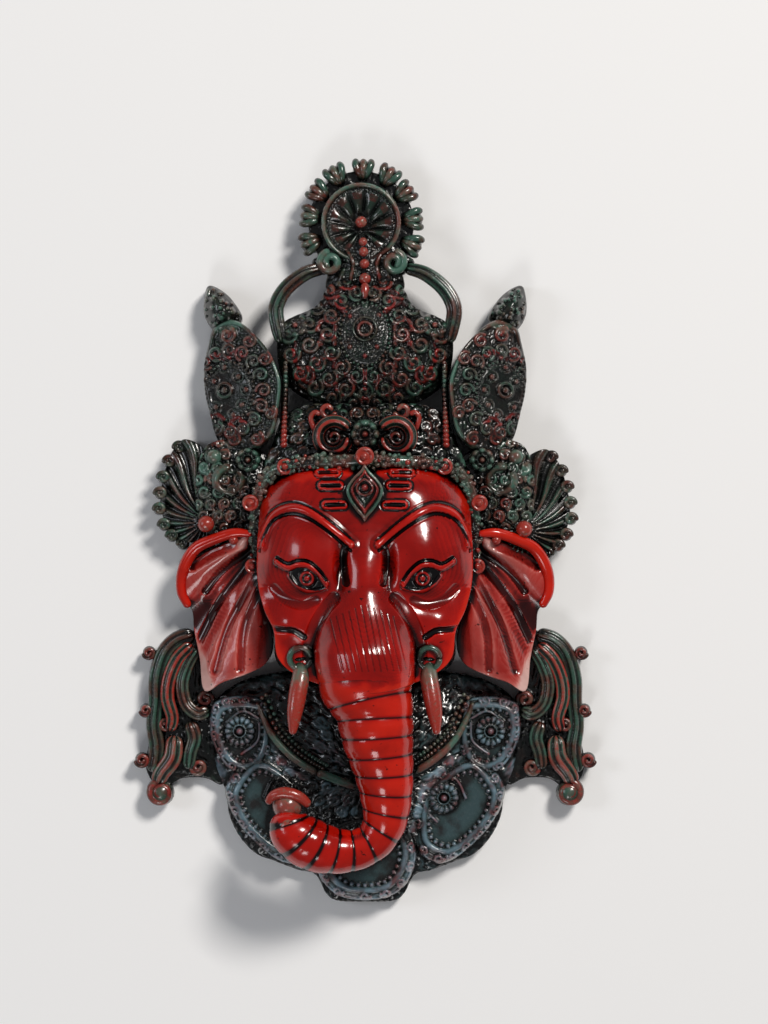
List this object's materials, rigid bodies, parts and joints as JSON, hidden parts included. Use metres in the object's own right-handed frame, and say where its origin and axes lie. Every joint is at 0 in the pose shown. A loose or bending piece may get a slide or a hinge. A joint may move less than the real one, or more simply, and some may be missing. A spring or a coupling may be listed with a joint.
{
  "type": "ganesha mask",
  "caption": "Cast resin Ganesha wall mask in red lacquer and dark verdigris patina, hollow behind, lying on its back.",
  "frame": {"origin": "centre of the bounding box at the flat back, z=0", "axes": "+Z out of the face, +Y towards the crown, -X where the trunk's tip points"},
  "size_m": [0.3734, 0.5962, 0.1209],
  "materials": {
    "casting": "cast resin, gloss red lacquer on face, ears, trunk and tusks, dark green patina with rubbed red on the rest"
  },
  "bodies": {
    "root": {"ganesha_mask": "casting"}
  },
  "joints": []
}
